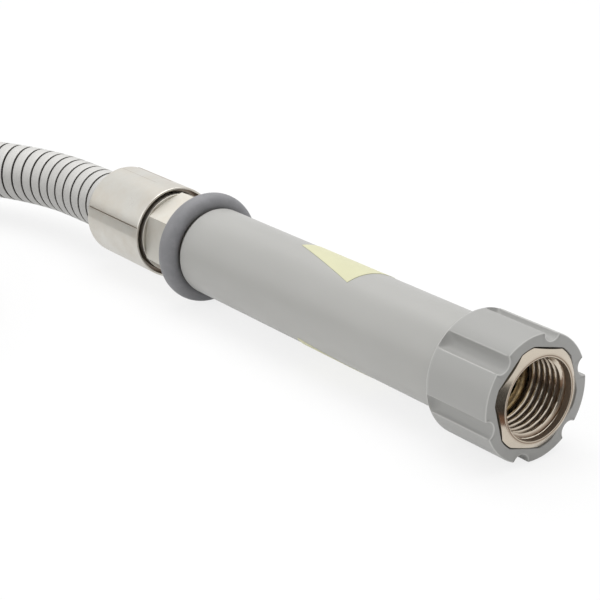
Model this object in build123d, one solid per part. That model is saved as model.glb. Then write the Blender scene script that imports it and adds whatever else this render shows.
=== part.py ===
"""Flexible metal water hose with a hand grip and a hand-tightened 1/2 inch coupling.

Millimetres. X runs along the handle, with the coupling at +X and the hose leaving at -X.
+Z is up. The origin is on the floor, under the middle of the handle, which lies on its bumper ring.
Stations along the handle are distances behind the coupling's face, and at() turns them into X.
"""
import math
import os

from build123d import *

# ---------------------------------------------------------------- driving dimensions
# handle as a whole
FACE_X = 90.0  # the coupling's face
RING_OUTER_RADIUS = 16.2  # bumper ring, the widest piece, which rests on the floor
AXIS_Z = RING_OUTER_RADIUS

# coupling nut: plastic cover with a brass hex insert
COVER_RADIUS = 16.0
COVER_LENGTH = 21.8
COVER_EDGE = 0.9
COVER_SHOULDER = 2.3  # deeper than the grooves, so that they run out before the back face
COVER_CLEARANCE = 1.0  # round the pipe
GROOVES = 6
GROOVE_RADIUS = 2.4
GROOVE_DEPTH = 2.2
GROOVE_TURN = 15.5  # degrees from +Y to the middle of a groove and of a hex flat
INSERT_ACROSS = 24.0
INSERT_CORNER_RADIUS = 12.9  # the hexagon's corners are turned down to it
INSERT_PROUD = 0.9
COVER_BACK_WALL = 4.15
SEAT_WALL = 2.4  # the insert's wall behind the pipe's flange
INSERT_RIM_RADIUS = 11.05
INSERT_BACK_RIM = 12.6
POCKET_CLEARANCE = 0.12
THREAD_RADIUS = 9.32  # crests of the 1/2 inch female thread
THREAD_MOUTH = 10.5
RELIEF_LENGTH = 2.2
RELIEF_RADIUS = 10.6

# pipe through the handle
PIPE_RADIUS = 7.5
PIPE_WALL = 1.5
FLANGE_RIM = 1.6  # how far the pipe's flange stands out
FLANGE_THICKNESS = 2.0
SLIP_THICKNESS = 0.8
TURNING_CLEARANCE = 0.3
FIT_CLEARANCE = 0.05

# grip
GRIP_RADIUS = 12.7
GRIP_WALL = 1.8
GRIP_GAP = 0.3  # between the coupling's cover and the sleeve
GRIP_LENGTH = 109.5
GRIP_FRONT_EDGE = 0.5
GRIP_BACK_EDGE = 1.6
BUSH_LENGTH = 9.0
LABEL_WIDTH = 27.8
LABEL_LENGTH = 53.0
LABEL_THICKNESS = 0.12
LABEL_TILT = 13.0
LABEL_STRIP = 2.0  # depth of the strip that the label is cut from
LABEL_CORNER_TURN = 117.0  # degrees from +Y to the label's front upper corner
LABEL_CORNER_SETBACK = 40.9  # from the sleeve's front to that corner

# bumper ring
RING_SECTION_RADIUS = 2.75
RING_BORE_RADIUS = 10.9
RING_GAP = 1.05

# adaptor with its hex collar
HEX_ACROSS = 22.0
HEX_TURN = 24.0  # degrees from +Y to a corner
HEX_LENGTH = 13.4
HEX_RIM_RADIUS = 11.6
COLLAR_RADIUS = 11.9
COLLAR_LENGTH = 1.3
STEM_LENGTH = 11.4
ADAPTOR_THREAD_RADIUS = 11.1
SOCKET_DEPTH = 16.0
SEAL_DEPTH = 11.35
SEAL_SECTION_RADIUS = 0.9

# hose nut and the hose's end fitting
NUT_RADIUS = 13.73
NUT_GAP = 0.6  # between the hexagon and the nut
NUT_LENGTH = 28.7
NUT_EDGE = 0.8
NUT_LIP = 0.35
SKIRT_RADIUS = 13.1
SKIRT_DEPTH = 2.4
NUT_THREAD_RADIUS = 11.2
NUT_THREAD_LENGTH = 8.2
NUT_CAVITY_RADIUS = 11.6
NUT_BACK_WALL = 2.9
FLAT_TURN = 82.0  # degrees from +Y to the middle of the first wrench flat
FLAT_DEPTH = 0.12
FLAT_SETBACK = 8.3
CREASE_TURN = 172.0
CREASE_DEPTH = 0.12
WASHER_THICKNESS = 2.0
WASHER_RADIUS = 10.6
TAIL_FLANGE_THICKNESS = 2.0
TAIL_FLANGE_RADIUS = 10.6
TAIL_BORE_RADIUS = 4.2
BARB_RADIUS = 5.9
BARB_NECK = 5.3
BARB_LENGTH = 3.4
BARBS = 4
FERRULE_RADIUS = 10.9
FERRULE_WALL = 1.2

# hose
HOSE_RADIUS = 9.25
HOSE_CLEARANCE = 0.3
FLOOR_GAP = 0.05
TURN_GAP = 0.3  # between the coil's turns that lie on each other
COIL_SETBACK = 45.8  # from the hose's start back to the middle of its coil
COIL_Y = -145.0
COIL_RADIUS = 93.0
COIL_RISE_START = 285.0  # degrees of travel round the coil where the hose starts to climb
COIL_RISE_END = 318.0
COIL_OVERLAP = 90.0  # degrees that lie on top of the first turn
END_RUN = 65.0  # straight length between the coil and the far end fitting

# ---------------------------------------------------------------- worked out from them
INSERT_BACK = COVER_LENGTH - COVER_BACK_WALL - FIT_CLEARANCE
INSERT_SEAT = INSERT_BACK - SEAT_WALL
FLANGE_BACK = INSERT_SEAT - SLIP_THICKNESS
FLANGE_FACE = FLANGE_BACK - FLANGE_THICKNESS
THREAD_END = FLANGE_FACE - RELIEF_LENGTH
PIPE_BORE = PIPE_RADIUS - PIPE_WALL
FLANGE_RADIUS = PIPE_RADIUS + FLANGE_RIM
GRIP_BORE = GRIP_RADIUS - GRIP_WALL
GRIP_FRONT = COVER_LENGTH + GRIP_GAP
GRIP_BACK = GRIP_FRONT + GRIP_LENGTH
RING_CENTRE_RADIUS = RING_OUTER_RADIUS - RING_SECTION_RADIUS
RING_STATION = GRIP_BACK + RING_GAP + RING_SECTION_RADIUS
SPIGOT_RADIUS = RING_BORE_RADIUS - FIT_CLEARANCE
ADAPTOR_FRONT = GRIP_BACK + FIT_CLEARANCE
PIPE_BACK = ADAPTOR_FRONT + SOCKET_DEPTH
SEAL_STATION = ADAPTOR_FRONT + SEAL_DEPTH
HEX_FRONT = RING_STATION + RING_SECTION_RADIUS + FIT_CLEARANCE
HEX_BACK = HEX_FRONT + HEX_LENGTH
ADAPTOR_BACK = HEX_BACK + STEM_LENGTH
TAIL_FACE = ADAPTOR_BACK + WASHER_THICKNESS
FERRULE_FRONT = TAIL_FACE + TAIL_FLANGE_THICKNESS
TAIL_BACK = FERRULE_FRONT + BARBS * BARB_LENGTH
NUT_FRONT = HEX_BACK + NUT_GAP
NUT_BACK = NUT_FRONT + NUT_LENGTH
NUT_SHOULDER = NUT_BACK - NUT_BACK_WALL
FERRULE_BACK = NUT_SHOULDER - FIT_CLEARANCE
HOSE_START = FERRULE_FRONT + FERRULE_WALL
LOW_Z = HOSE_RADIUS + FLOOR_GAP
HIGH_Z = LOW_Z + 2 * HOSE_RADIUS + TURN_GAP


def at(station):
    """X of a station behind the coupling's face."""
    return FACE_X - station


HOSE_X = at(HOSE_START)
COIL_X = HOSE_X - COIL_SETBACK

# The hose from the hose nut down to the floor and round to where its coil starts.
HOSE_ROUTE = [
    (HOSE_X, 0, AXIS_Z),
    (HOSE_X - 27.8, 0, AXIS_Z),
    (HOSE_X - 57.8, -5, AXIS_Z),
    (HOSE_X - 93.8, -21, 15),
    (HOSE_X - 124.8, -55, 11.5),
    (COIL_X - COIL_RADIUS, -99, LOW_Z),
    (COIL_X - COIL_RADIUS, COIL_Y, LOW_Z),
]


# ---------------------------------------------------------------- helpers
def turned(*outline):
    """A piece turned about the X axis from (station, radius) corners."""
    points = [(at(station), radius) for station, radius in outline]
    return revolve(make_face(Polyline(*points, close=True)), Axis.X)


def around(station, turn=0.0):
    """A plane across the handle at a station, facing +X, with its own X axis turned from +Y to +Z."""
    angle = math.radians(turn)
    return Plane((at(station), 0, 0), x_dir=(0, math.cos(angle), math.sin(angle)), z_dir=(1, 0, 0))


def hex_bar(across, front, back, turn):
    """A hexagonal bar between two stations; turn is the angle of a corner."""
    corner = across / math.sqrt(3)
    outline = around(back, turn) * RegularPolygon(corner, 6)
    return extrude(outline, back - front)


def insert_bar(clearance, front, back):
    """The coupling insert's bar, or with a clearance its pocket, with the corners turned down."""
    bar = hex_bar(INSERT_ACROSS + 2 * clearance, front, back, GROOVE_TURN + 30)
    corner = INSERT_CORNER_RADIUS + clearance
    return bar & turned((front, 0), (front, corner), (back, corner), (back, 0))


def chamfered(bar, across, front, back, front_rim, back_rim):
    """A hexagonal bar with its corners turned down to a rim at each end, at 30 degrees."""
    reach = across / math.sqrt(3) + 1
    slope = math.tan(math.radians(30))
    cone = turned(
        (front, 0),
        (front, front_rim),
        (front + (reach - front_rim) * slope, reach),
        (back - (reach - back_rim) * slope, reach),
        (back, back_rim),
        (back, 0),
    )
    return bar & cone


def edges_at(piece, station, radius):
    """The circular edges of a piece at a station with a given radius."""
    rims = piece.edges().filter_by(GeomType.CIRCLE)
    return [e for e in rims if abs(e.center().X - at(station)) < 0.01 and abs(e.radius - radius) < 0.01]


# ---------------------------------------------------------------- coupling nut
def coupling_cover():
    body = turned((0, 0), (0, COVER_RADIUS), (COVER_LENGTH, COVER_RADIUS), (COVER_LENGTH, 0))
    grooves = []
    for number in range(GROOVES):
        turn = GROOVE_TURN + number * 360 / GROOVES
        centre = COVER_RADIUS + GROOVE_RADIUS - GROOVE_DEPTH
        circle = around(COVER_LENGTH + 1, turn) * Pos(centre, 0) * Circle(GROOVE_RADIUS)
        grooves.append(extrude(circle, COVER_LENGTH + 2))
    body = fillet(edges_at(body, COVER_LENGTH, COVER_RADIUS), COVER_SHOULDER)
    body = fillet(edges_at(body, 0, COVER_RADIUS), COVER_EDGE)
    for groove in grooves:
        body -= groove
    pocket = insert_bar(POCKET_CLEARANCE, -1, INSERT_BACK + FIT_CLEARANCE)
    radius = PIPE_RADIUS + COVER_CLEARANCE
    hole = turned((0, 0), (0, radius), (COVER_LENGTH + 1, radius), (COVER_LENGTH + 1, 0))
    return body - pocket - hole


def coupling_insert():
    bar = insert_bar(0, -INSERT_PROUD, INSERT_BACK)
    body = chamfered(bar, INSERT_ACROSS, -INSERT_PROUD, INSERT_BACK, INSERT_RIM_RADIUS, INSERT_BACK_RIM)
    lead_in = THREAD_MOUTH - THREAD_RADIUS
    bore = turned(
        (-INSERT_PROUD - 1, 0),
        (-INSERT_PROUD - 1, THREAD_MOUTH),
        (-INSERT_PROUD, THREAD_MOUTH),
        (-INSERT_PROUD + lead_in, THREAD_RADIUS),
        (THREAD_END, THREAD_RADIUS),
        (THREAD_END, RELIEF_RADIUS),
        (INSERT_SEAT, RELIEF_RADIUS),
        (INSERT_SEAT, PIPE_RADIUS + TURNING_CLEARANCE),
        (INSERT_BACK + 1, PIPE_RADIUS + TURNING_CLEARANCE),
        (INSERT_BACK + 1, 0),
    )
    return body - bore


def slip_washer():
    inner = PIPE_RADIUS + FIT_CLEARANCE
    return turned(
        (FLANGE_BACK, inner), (FLANGE_BACK, FLANGE_RADIUS), (INSERT_SEAT, FLANGE_RADIUS), (INSERT_SEAT, inner)
    )


# ---------------------------------------------------------------- handle
def handle_pipe():
    return turned(
        (FLANGE_FACE, PIPE_BORE),
        (FLANGE_FACE, FLANGE_RADIUS),
        (FLANGE_BACK, FLANGE_RADIUS),
        (FLANGE_BACK, PIPE_RADIUS),
        (PIPE_BACK, PIPE_RADIUS),
        (PIPE_BACK, PIPE_BORE),
    )


def grip_sleeve():
    tube = turned(
        (GRIP_FRONT, GRIP_BORE), (GRIP_FRONT, GRIP_RADIUS), (GRIP_BACK, GRIP_RADIUS), (GRIP_BACK, GRIP_BORE)
    )
    tube = fillet(edges_at(tube, GRIP_BACK, GRIP_RADIUS), GRIP_BACK_EDGE)
    return fillet(edges_at(tube, GRIP_FRONT, GRIP_RADIUS), GRIP_FRONT_EDGE)


def grip_bush(front):
    inner = PIPE_RADIUS + FIT_CLEARANCE
    outer = GRIP_BORE - FIT_CLEARANCE
    back = front + BUSH_LENGTH
    return turned((front, inner), (front, outer), (back, outer), (back, inner))


def grip_label():
    """A rectangle wrapped on the sleeve: a thick strip swept along a helix, cut down to a thin skin."""
    middle = GRIP_RADIUS + LABEL_THICKNESS / 2
    tilt = math.radians(LABEL_TILT)
    pitch = 2 * math.pi * middle * math.tan(tilt)
    height = LABEL_LENGTH * math.sin(tilt)
    path = Helix(pitch, height, middle)
    start = Plane(origin=path @ 0, x_dir=(1, 0, 0), z_dir=path % 0)
    strip = sweep(start * Rectangle(LABEL_STRIP, LABEL_WIDTH), path, is_frenet=True)
    # The helix stands on Z and starts at its own +X; it is laid along the handle and turned to its place.
    centre_turn = LABEL_CORNER_TURN - math.degrees(LABEL_WIDTH / 2 * math.sin(tilt) / middle)
    centre_station = GRIP_FRONT + LABEL_CORNER_SETBACK + LABEL_WIDTH / 2 * math.cos(tilt)
    laid = around(centre_station) * Rot(0, 0, centre_turn) * mirror(strip, Plane.XZ)
    skin_front = centre_station - LABEL_LENGTH
    skin_back = centre_station + LABEL_LENGTH
    inner = GRIP_RADIUS
    outer = GRIP_RADIUS + LABEL_THICKNESS
    skin = turned((skin_front, inner), (skin_front, outer), (skin_back, outer), (skin_back, inner))
    return skin & laid


def bumper_ring():
    section = Pos(at(RING_STATION), RING_CENTRE_RADIUS) * Circle(RING_SECTION_RADIUS)
    ring = revolve(section, Axis.X)
    front = RING_STATION - RING_SECTION_RADIUS - 1
    back = RING_STATION + RING_SECTION_RADIUS + 1
    return ring - turned((front, 0), (front, RING_BORE_RADIUS), (back, RING_BORE_RADIUS), (back, 0))


def pipe_seal():
    centre = PIPE_RADIUS + SEAL_SECTION_RADIUS + FIT_CLEARANCE
    return revolve(Pos(at(SEAL_STATION), centre) * Circle(SEAL_SECTION_RADIUS), Axis.X)


def hose_adaptor():
    spigot = turned(
        (ADAPTOR_FRONT, 0), (ADAPTOR_FRONT, SPIGOT_RADIUS), (HEX_FRONT, SPIGOT_RADIUS), (HEX_FRONT, 0)
    )
    bar = hex_bar(HEX_ACROSS, HEX_FRONT, HEX_BACK, HEX_TURN)
    collar = chamfered(bar, HEX_ACROSS, HEX_FRONT, HEX_BACK, HEX_RIM_RADIUS, HEX_RIM_RADIUS)
    collar_back = HEX_BACK + COLLAR_LENGTH
    stem = turned(
        (HEX_BACK, 0),
        (HEX_BACK, COLLAR_RADIUS),
        (collar_back, COLLAR_RADIUS),
        (collar_back, ADAPTOR_THREAD_RADIUS),
        (ADAPTOR_BACK, ADAPTOR_THREAD_RADIUS),
        (ADAPTOR_BACK, 0),
    )
    socket = PIPE_RADIUS + FIT_CLEARANCE
    groove = PIPE_RADIUS + 2 * (SEAL_SECTION_RADIUS + FIT_CLEARANCE)
    half = SEAL_SECTION_RADIUS + FIT_CLEARANCE
    waterway = turned(
        (ADAPTOR_FRONT - 1, 0),
        (ADAPTOR_FRONT - 1, socket),
        (SEAL_STATION - half, socket),
        (SEAL_STATION - half, groove),
        (SEAL_STATION + half, groove),
        (SEAL_STATION + half, socket),
        (PIPE_BACK, socket),
        (PIPE_BACK, PIPE_BORE),
        (ADAPTOR_BACK + 1, PIPE_BORE),
        (ADAPTOR_BACK + 1, 0),
    )
    return spigot + collar + stem - waterway


# ---------------------------------------------------------------- hose end fitting
def hose_nut():
    body = turned((NUT_FRONT, 0), (NUT_FRONT, NUT_RADIUS), (NUT_BACK, NUT_RADIUS), (NUT_BACK, 0))
    body = fillet(edges_at(body, NUT_BACK, NUT_RADIUS), NUT_EDGE)
    body = fillet(edges_at(body, NUT_FRONT, NUT_RADIUS), NUT_LIP)
    for opposite in (0, 180):
        body -= flat_cutter(FLAT_TURN + opposite, FLAT_DEPTH, NUT_FRONT + FLAT_SETBACK)
        body -= flat_cutter(CREASE_TURN + opposite, CREASE_DEPTH, NUT_FRONT - 1)
    hole = HOSE_RADIUS + HOSE_CLEARANCE
    skirt_back = NUT_FRONT + SKIRT_DEPTH
    thread_back = skirt_back + NUT_THREAD_LENGTH
    bore = turned(
        (NUT_FRONT - 1, 0),
        (NUT_FRONT - 1, SKIRT_RADIUS),
        (skirt_back, SKIRT_RADIUS),
        (skirt_back, NUT_THREAD_RADIUS),
        (thread_back, NUT_THREAD_RADIUS),
        (thread_back, NUT_CAVITY_RADIUS),
        (NUT_SHOULDER, NUT_CAVITY_RADIUS),
        (NUT_SHOULDER, hole),
        (NUT_BACK + 1, hole),
        (NUT_BACK + 1, 0),
    )
    return body - bore


def flat_cutter(turn, depth, front):
    """What a milling cutter takes off the nut's side, from a front station to past its back."""
    height = NUT_RADIUS / 2
    plane = around(NUT_BACK + 1, turn) * Pos(NUT_RADIUS - depth + height / 2, 0)
    return extrude(plane * Rectangle(height, NUT_RADIUS), NUT_BACK + 1 - front)


def hose_washer():
    return turned(
        (ADAPTOR_BACK, PIPE_BORE),
        (ADAPTOR_BACK, WASHER_RADIUS),
        (TAIL_FACE, WASHER_RADIUS),
        (TAIL_FACE, PIPE_BORE),
    )


def hose_tail():
    outline = [
        (TAIL_FACE, TAIL_BORE_RADIUS),
        (TAIL_FACE, TAIL_FLANGE_RADIUS),
        (FERRULE_FRONT, TAIL_FLANGE_RADIUS),
        (FERRULE_FRONT, BARB_NECK),
    ]
    for number in range(BARBS):
        start = FERRULE_FRONT + number * BARB_LENGTH
        outline.append((start + 0.2 * BARB_LENGTH, BARB_NECK))
        outline.append((start + 0.2 * BARB_LENGTH, BARB_RADIUS))
        outline.append((start + BARB_LENGTH, BARB_NECK))
    outline.append((TAIL_BACK, TAIL_BORE_RADIUS))
    return turned(*outline)


def hose_ferrule():
    cup = HOSE_RADIUS + FIT_CLEARANCE
    neck = BARB_RADIUS + HOSE_CLEARANCE
    return turned(
        (FERRULE_FRONT, neck),
        (FERRULE_FRONT, FERRULE_RADIUS),
        (FERRULE_BACK, FERRULE_RADIUS),
        (FERRULE_BACK, cup),
        (HOSE_START, cup),
        (HOSE_START, neck),
    )


def tail_room():
    """The bore at a hose end that the barbed tail stands in."""
    radius = BARB_RADIUS + FIT_CLEARANCE
    back = TAIL_BACK + FIT_CLEARANCE
    return turned((HOSE_START - 1, 0), (HOSE_START - 1, radius), (back, radius), (back, 0))


# ---------------------------------------------------------------- hose
def route_radii(points):
    """The bend radius at each inner point: as large as its two runs allow."""
    corners = [Vector(*p) for p in points]
    radii = []
    for before, here, after in zip(corners, corners[1:], corners[2:]):
        come = here - before
        leave = after - here
        turn = math.radians(come.get_angle(leave))
        radii.append(0.45 * min(come.length, leave.length) / math.tan(turn / 2))
    return radii


def hose_run():
    radii = route_radii(HOSE_ROUTE)
    print("hose radii in diameters:", [round(r / (2 * HOSE_RADIUS), 2) for r in radii])
    path = FilletPolyline(*HOSE_ROUTE, radius=radii)
    start = Plane(origin=path @ 0, z_dir=path % 0)
    tube = sweep(start * Circle(HOSE_RADIUS), path)
    section = math.pi * HOSE_RADIUS**2
    print("hose run length", round(path.length, 1), "volume over section", round(tube.volume / section, 1))
    return tube - Pos(0, 0, AXIS_Z) * tail_room()


def coil_arc(low, high, start, end):
    """A stretch of the coil: an upright outline from height low to high, turned about the coil's middle."""
    left = Pos(-COIL_RADIUS, low) * Circle(HOSE_RADIUS)
    if high > low:
        right = Pos(-COIL_RADIUS, high) * Circle(HOSE_RADIUS)
        middle = Pos(-COIL_RADIUS, (low + high) / 2) * Rectangle(2 * HOSE_RADIUS, high - low)
        left = left + middle + right
    outline = Plane.XZ * left
    ring = revolve(outline, Axis.Z, revolution_arc=end - start)
    return Pos(COIL_X, COIL_Y, 0) * Rot(0, 0, start) * ring


def hose_coil():
    """One full turn on the floor, which climbs over its own start and lies on top of it."""
    return (
        coil_arc(LOW_Z, HIGH_Z, 0, COIL_OVERLAP)
        + coil_arc(LOW_Z, LOW_Z, COIL_OVERLAP, COIL_RISE_START)
        + coil_arc(LOW_Z, HIGH_Z, COIL_RISE_START, COIL_RISE_END)
        + coil_arc(HIGH_Z, HIGH_Z, COIL_RISE_END, 360)
    )


def hose_end():
    """The straight end of the hose between its coil and the far end fitting."""
    start = Plane((COIL_X, COIL_Y - COIL_RADIUS, HIGH_Z), z_dir=(1, 0, 0))
    return extrude(start * Circle(HOSE_RADIUS), END_RUN) - far(tail_room())


def far(piece):
    """A piece of the end fitting, moved from the handle to the hose's far end."""
    end_x = COIL_X + END_RUN
    return Pos(end_x - HOSE_X, COIL_Y - COIL_RADIUS, HIGH_Z) * piece


# ---------------------------------------------------------------- export
def handle(piece):
    return Pos(0, 0, AXIS_Z) * piece


def build():
    pieces = {
        "coupling_cover": handle(coupling_cover()),
        "coupling_insert": handle(coupling_insert()),
        "slip_washer": handle(slip_washer()),
        "handle_pipe": handle(handle_pipe()),
        "grip_sleeve": handle(grip_sleeve()),
        "grip_label": handle(grip_label()),
        "front_bush": handle(grip_bush(GRIP_FRONT)),
        "rear_bush": handle(grip_bush(GRIP_BACK - BUSH_LENGTH)),
        "bumper_ring": handle(bumper_ring()),
        "pipe_seal": handle(pipe_seal()),
        "hose_adaptor": handle(hose_adaptor()),
        "hose_run": hose_run(),
        "hose_coil": hose_coil(),
        "hose_end": hose_end(),
    }
    fitting = {
        "hose_nut": hose_nut(),
        "hose_washer": hose_washer(),
        "hose_tail": hose_tail(),
        "hose_ferrule": hose_ferrule(),
    }
    for name, piece in fitting.items():
        pieces[name] = handle(piece)
        pieces["far_" + name] = far(piece)
    return pieces


if __name__ == "__main__":
    os.makedirs("parts", exist_ok=True)
    for name, shape in build().items():
        export_step(shape, f"parts/{name}.step")
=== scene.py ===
"""Dresses the flexible metal hose with a hand grip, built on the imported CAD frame.

Stations are millimetres behind the coupling's face.
Turns are degrees from +Y towards +Z about the handle.
"""
import math

import bmesh
import bpy
from bpy.props import FloatProperty, FloatVectorProperty, IntProperty, PointerProperty
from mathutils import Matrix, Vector


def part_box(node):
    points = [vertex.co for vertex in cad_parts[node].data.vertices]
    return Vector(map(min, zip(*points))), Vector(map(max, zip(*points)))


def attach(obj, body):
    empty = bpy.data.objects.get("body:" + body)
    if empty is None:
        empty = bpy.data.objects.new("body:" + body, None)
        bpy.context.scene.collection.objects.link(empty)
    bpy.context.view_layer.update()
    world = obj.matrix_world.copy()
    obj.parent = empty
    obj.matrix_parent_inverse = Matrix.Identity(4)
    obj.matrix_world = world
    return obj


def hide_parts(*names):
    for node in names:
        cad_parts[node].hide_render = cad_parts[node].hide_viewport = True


bl_info = {
    "name": "Flexible Metal Hose With Grip",
    "version": (1, 0, 0),
    "blender": (4, 5, 0),
    "location": "3D View > Sidebar > Hose",
    "description": "Builds the visible pieces of a strip-wound metal hose and its handle",
    "category": "Object",
}

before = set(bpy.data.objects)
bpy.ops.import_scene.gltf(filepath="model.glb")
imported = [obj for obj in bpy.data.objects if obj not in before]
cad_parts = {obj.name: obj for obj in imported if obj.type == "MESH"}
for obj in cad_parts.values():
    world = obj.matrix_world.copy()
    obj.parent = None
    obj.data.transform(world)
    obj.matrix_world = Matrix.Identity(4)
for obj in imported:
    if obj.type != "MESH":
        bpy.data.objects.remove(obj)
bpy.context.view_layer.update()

MM = 0.001
FACE_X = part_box("coupling_cover")[1].x
AXIS_Z = (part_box("coupling_cover")[0].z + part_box("coupling_cover")[1].z) / 2


def width_of(node):
    """The width across a CAD node, in metres."""
    low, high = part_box(node)
    return high.y - low.y


def station_of(x):
    """Millimetres from the coupling's face back to x."""
    return (FACE_X - x) / MM


def length_prop(label, text, default):
    return FloatProperty(name=label, description=text, default=default, subtype="DISTANCE", unit="LENGTH")


def angle_prop(label, text, degrees):
    return FloatProperty(name=label, description=text, default=math.radians(degrees), subtype="ANGLE")


def colour_prop(label, text, default):
    return FloatVectorProperty(
        name=label, description=text, default=default, subtype="COLOR", size=3, min=0.0, max=1.0
    )


# ---------------------------------------------------------------- settings
class HoseHandleSizes(bpy.types.PropertyGroup):
    groove_turn: angle_prop("Groove turn", "From +Y to the middle of a cover groove and of a hex flat", 15.5)
    groove_radius: length_prop("Groove radius", "Radius of each groove in the coupling's cover", 2.4 * MM)
    groove_depth: length_prop("Groove depth", "Depth of each groove in the coupling's cover", 2.2 * MM)
    cover_edge: length_prop("Cover edge", "Rounding along the cover's face", 0.4 * MM)
    cover_shoulder: length_prop("Cover shoulder", "Rounding at the cover's back", 2.3 * MM)
    insert_across: length_prop("Insert across flats", "Width of the brass insert's hexagon", 24.0 * MM)
    insert_corner: length_prop("Insert corner", "Radius of the hexagon's turned-down corners", 12.9 * MM)
    insert_gap: length_prop("Insert gap", "Gap between the insert and its pocket", 0.33 * MM)
    thread_crest: length_prop("Thread crest", "Radius at the crests of the coupling's thread", 9.32 * MM)
    thread_depth: length_prop("Thread depth", "Height of the coupling's thread", 0.9 * MM)
    thread_pitch: length_prop("Thread pitch", "Pitch of the coupling's thread", 1.814 * MM)
    nut_thread_crest: length_prop("Nut thread crest", "Crest radius of the hose nut's thread", 11.2 * MM)
    nut_thread_depth: length_prop("Nut thread depth", "Height of the hose nut's thread", 0.8 * MM)
    nut_thread_pitch: length_prop("Nut thread pitch", "Pitch of the hose nut's thread", 1.5 * MM)
    hex_across: length_prop("Hexagon across flats", "Width of the adaptor's hexagon", 22.0 * MM)
    hose_radius: length_prop("Hose radius", "Outer radius of the hose", 9.25 * MM)
    hose_pitch: length_prop("Hose pitch", "Distance between the turns of the hose's strip", 4.75 * MM)
    hose_start: length_prop("Strip start", "Where the strip's first turn starts along the hose", -0.9 * MM)
    hose_slot: length_prop("Slot width", "Width of the slot between two turns of the strip", 0.7 * MM)
    hose_slot_depth: length_prop("Slot depth", "Depth of the slot between two turns of the strip", 1.0 * MM)
    hose_facets: IntProperty(name="Hose facets", description="Facets once round the hose", default=44)
    ring_tilt: angle_prop("Ring tilt", "How far the soft ring leans on its seat", 0.5)


class HoseHandleColours(bpy.types.PropertyGroup):
    grip: colour_prop("Grip", "Moulded plastic of the grip", (0.405, 0.402, 0.385))
    cover: colour_prop("Cover", "Moulded plastic of the coupling's cover", (0.355, 0.353, 0.34))
    ring: colour_prop("Ring", "Rubber of the bumper ring", (0.215, 0.215, 0.225))
    seal: colour_prop("Seals", "Rubber of the seals", (0.02, 0.02, 0.02))
    nylon: colour_prop("Nylon", "Plastic of the slip washer and bushes", (0.3, 0.3, 0.29))
    label: colour_prop("Label", "Film of the wrapped label", (0.64, 0.63, 0.41))
    nickel: colour_prop("Nickel", "Satin nickel of the nuts and the hexagon", (0.62, 0.605, 0.56))
    stain: colour_prop("Stain", "Warmer patches in the nickel", (0.565, 0.53, 0.47))
    insert: colour_prop("Insert", "Thin nickel over brass of the threaded insert", (0.70, 0.63, 0.53))
    brass: colour_prop("Brass", "Brass of the pipe and the hose tails", (0.84, 0.73, 0.51))
    # painted shade: dark brown mixed into the thread roots, mouths, cavities and creases of the metal parts
    recess_shade: colour_prop("Recess", "Dull metal down in the threads", (0.17, 0.10, 0.055))
    steel: colour_prop("Steel", "Steel strip of the hose", (0.57, 0.565, 0.55))
    # painted shade: dark colour mixed into the hose's slots
    slot: colour_prop("Slot", "Shaded steel down in the hose's slots", (0.10, 0.09, 0.08))
    floor: colour_prop("Floor", "The pale studio floor", (0.92, 0.92, 0.92))


def sizes():
    return bpy.context.scene.hose_handle_sizes


def colours():
    return bpy.context.scene.hose_handle_colours


# ---------------------------------------------------------------- mesh helpers
def place(station, radius, turn):
    """A point about the handle, from a station and a radius in millimetres and a turn in degrees."""
    angle = math.radians(turn)
    return Vector(
        (FACE_X - station * MM, radius * MM * math.cos(angle), AXIS_Z + radius * MM * math.sin(angle))
    )


def grid_mesh(name, columns):
    """A closed mesh from columns of points, where each column is a loop and the last joins the first."""
    rows = len(columns[0])
    count = len(columns)
    mesh = bpy.data.meshes.new(name)
    faces = []
    for c in range(count):
        d = (c + 1) % count
        for r in range(rows):
            q = (r + 1) % rows
            faces.append((c * rows + r, c * rows + q, d * rows + q, d * rows + r))
    mesh.from_pydata([p for column in columns for p in column], [], faces)
    return mesh


def turned_mesh(name, turns, column_at, smooth_angle, shift=Vector()):
    """A closed mesh about the handle, from a column of (station, radius, recess shade share) at each turn,
    where the share sets painted shade on the metal.
    """
    columns = []
    recess_shade = []
    for turn in turns:
        column = column_at(turn)
        columns.append([place(point[0], point[1], turn) + shift for point in column])
        recess_shade += [point[2] if len(point) > 2 else 0.0 for point in column]
    mesh = grid_mesh(name, columns)
    # per-point share of painted shade, mixed into the metal's colour
    mesh.attributes.new("recess_shade", "FLOAT", "POINT").data.foreach_set("value", recess_shade)
    clean_up(mesh, smooth_angle)
    return mesh


def clean_up(mesh, smooth_angle):
    """Welds doubled points, turns the faces outward and smooths all but the sharp edges."""
    bm = bmesh.new()
    bm.from_mesh(mesh)
    bmesh.ops.remove_doubles(bm, verts=bm.verts, dist=1e-6)
    bmesh.ops.dissolve_degenerate(bm, edges=bm.edges, dist=1e-6)
    bmesh.ops.recalc_face_normals(bm, faces=bm.faces)
    bm.to_mesh(mesh)
    bm.free()
    mesh.shade_smooth()
    mesh.set_sharp_from_angle(angle=math.radians(smooth_angle))


def add_piece(name, mesh, material, body, slot, *nodes):
    """Puts a mesh in the scene, on its body, in place of its CAD nodes."""
    piece = bpy.data.objects.new(name, mesh)
    bpy.context.scene.collection.objects.link(piece)
    mesh.materials.append(material)
    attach(piece, body)
    if nodes:
        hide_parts(*nodes)
    return piece


def steps(start, end, count):
    """Evenly spread numbers from start to end, both included."""
    return [start + (end - start) * i / (count - 1) for i in range(count)]


def hexagon(across, turn, corner_turn):
    """Radius of a hexagon at a turn, where corner_turn is the turn of a corner."""
    off = (turn - corner_turn) % 60 - 30
    return across / 2 / math.cos(math.radians(off))


THREAD_FLAT = 0.14  # share of a thread's flank that is flat at its crest, and again at its root


def thread_height(phase):
    """Share of a thread's full depth, from 0 at a crest to 1 at a root."""
    ramp = 1 - abs(2 * (phase % 1.0) - 1)
    share = min(1.0, max(0.0, (ramp - THREAD_FLAT) / (1 - 2 * THREAD_FLAT)))
    return share * share * (3 - 2 * share)


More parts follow.
